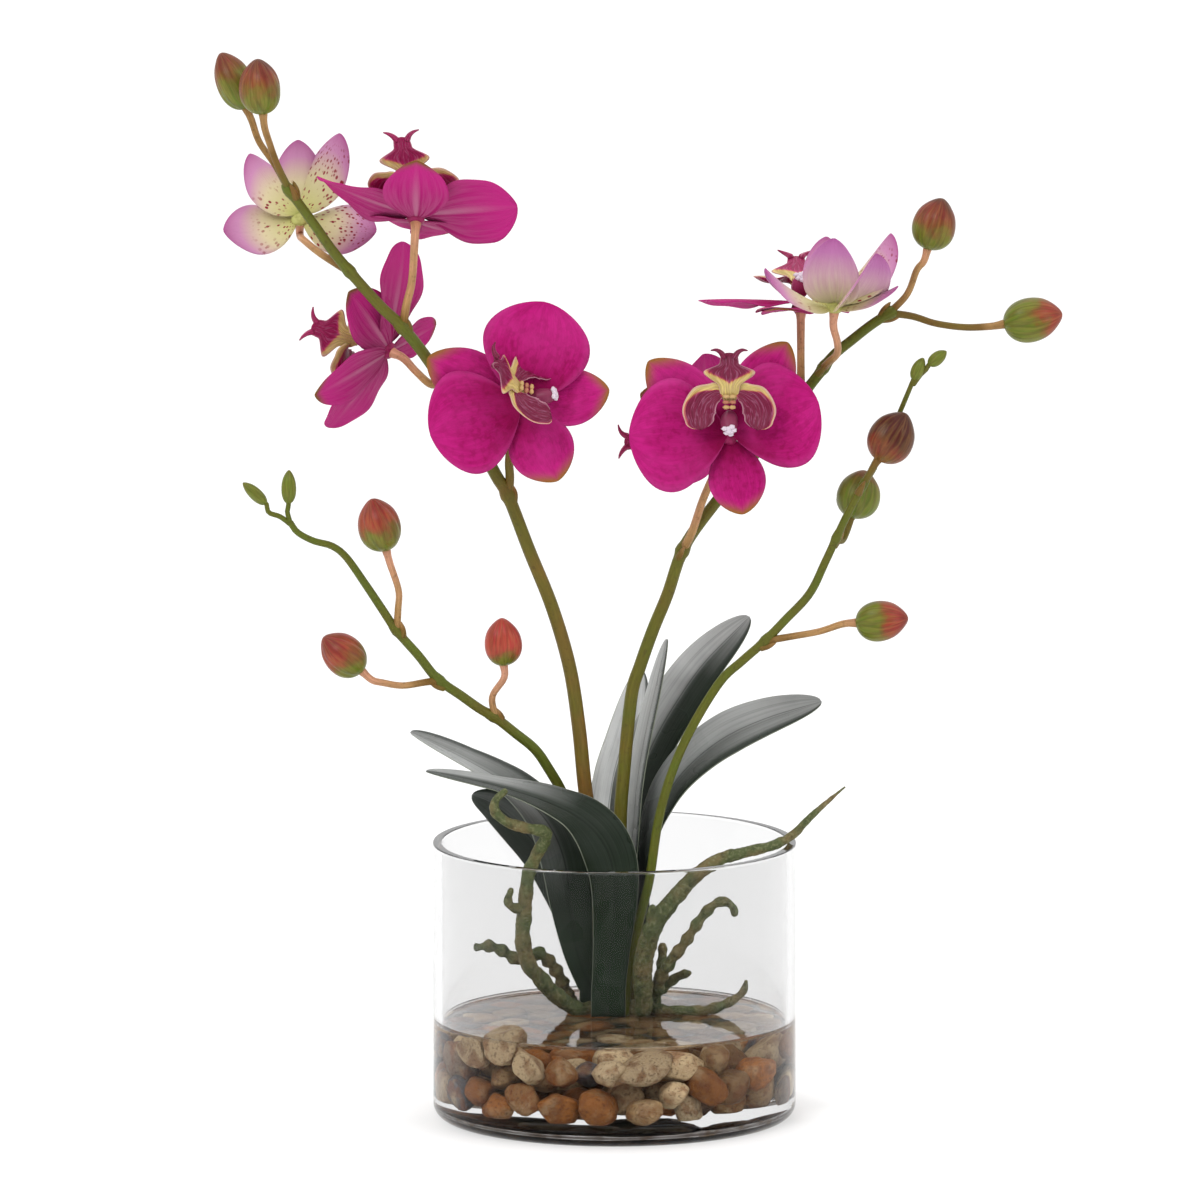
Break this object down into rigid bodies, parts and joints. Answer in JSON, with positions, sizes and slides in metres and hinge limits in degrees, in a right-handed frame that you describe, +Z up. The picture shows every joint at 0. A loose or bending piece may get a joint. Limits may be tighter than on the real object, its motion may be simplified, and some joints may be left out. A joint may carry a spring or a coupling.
{
  "type": "orchid in glass vase",
  "caption": "Magenta moth orchid with sprays of buds, strap leaves and aerial roots, standing in a low round glass vase of water over river pebbles.",
  "frame": {"origin": "middle of the vase's flat underside, on the surface it stands on", "axes": "+Z up, along the vase's axis; -Y towards the viewer, the way the two large open flowers face; +X to the viewer's right"},
  "size_m": [0.2956, 0.127, 0.376],
  "materials": {
    "vase_glass": "clear polished glass",
    "water": "clear still water",
    "pebble_stone": "wet worn river stone, tan, cream and brown",
    "crown_green": "waxy green plant tissue",
    "leaf_green": "glossy dark green strap leaf with a dark midrib",
    "root_brown": "rough grey-green aerial root",
    "stem_green": "smooth olive green stem, browner on the flower stalks",
    "bud_green": "waxy green bud with a maroon tip",
    "petal_magenta": "soft satin petal, magenta with darker veins",
    "lip_maroon": "maroon and cream lip, satin",
    "petal_pale": "cream to lilac petal with fine dark spots"
  },
  "bodies": {
    "root": {"vase": "vase_glass", "water": "water", "pebbles": "pebble_stone", "crown": "crown_green", "leaf_front": "leaf_green", "leaf_left": "leaf_green", "leaf_left_back": "leaf_green", "leaf_upright": "leaf_green", "leaf_right_tall": "leaf_green", "leaf_right_low": "leaf_green", "leaf_back": "leaf_green", "root_front": "root_brown", "roots_left": "root_brown", "root_over_rim": "root_brown", "roots_right": "root_brown", "flower_stem_left": "stem_green", "flower_stem_right": "stem_green", "bud_stem_left": "stem_green", "bud_stem_right": "stem_green", "bud_top_left": "bud_green", "bud_top_front": "bud_green", "bud_left_high": "bud_green", "bud_left_low": "bud_green", "bud_left_inner": "bud_green", "bud_right_high": "bud_green", "bud_right_far": "bud_green", "bud_spray_top": "bud_green", "bud_spray_back": "bud_green", "bud_spray_side": "bud_green", "flower_front_left": "petal_magenta", "flower_front_right": "petal_magenta", "flower_behind_right": "petal_magenta", "flower_left": "petal_magenta", "flower_top": "petal_magenta", "flower_right_top": "petal_magenta", "lip_front_left": "lip_maroon", "lip_front_right": "lip_maroon", "lip_behind_right": "lip_maroon", "lip_left": "lip_maroon", "lip_top": "lip_maroon", "lip_right_top": "lip_maroon", "bloom_right": "petal_pale", "bloom_left": "petal_pale"}
  },
  "joints": []
}
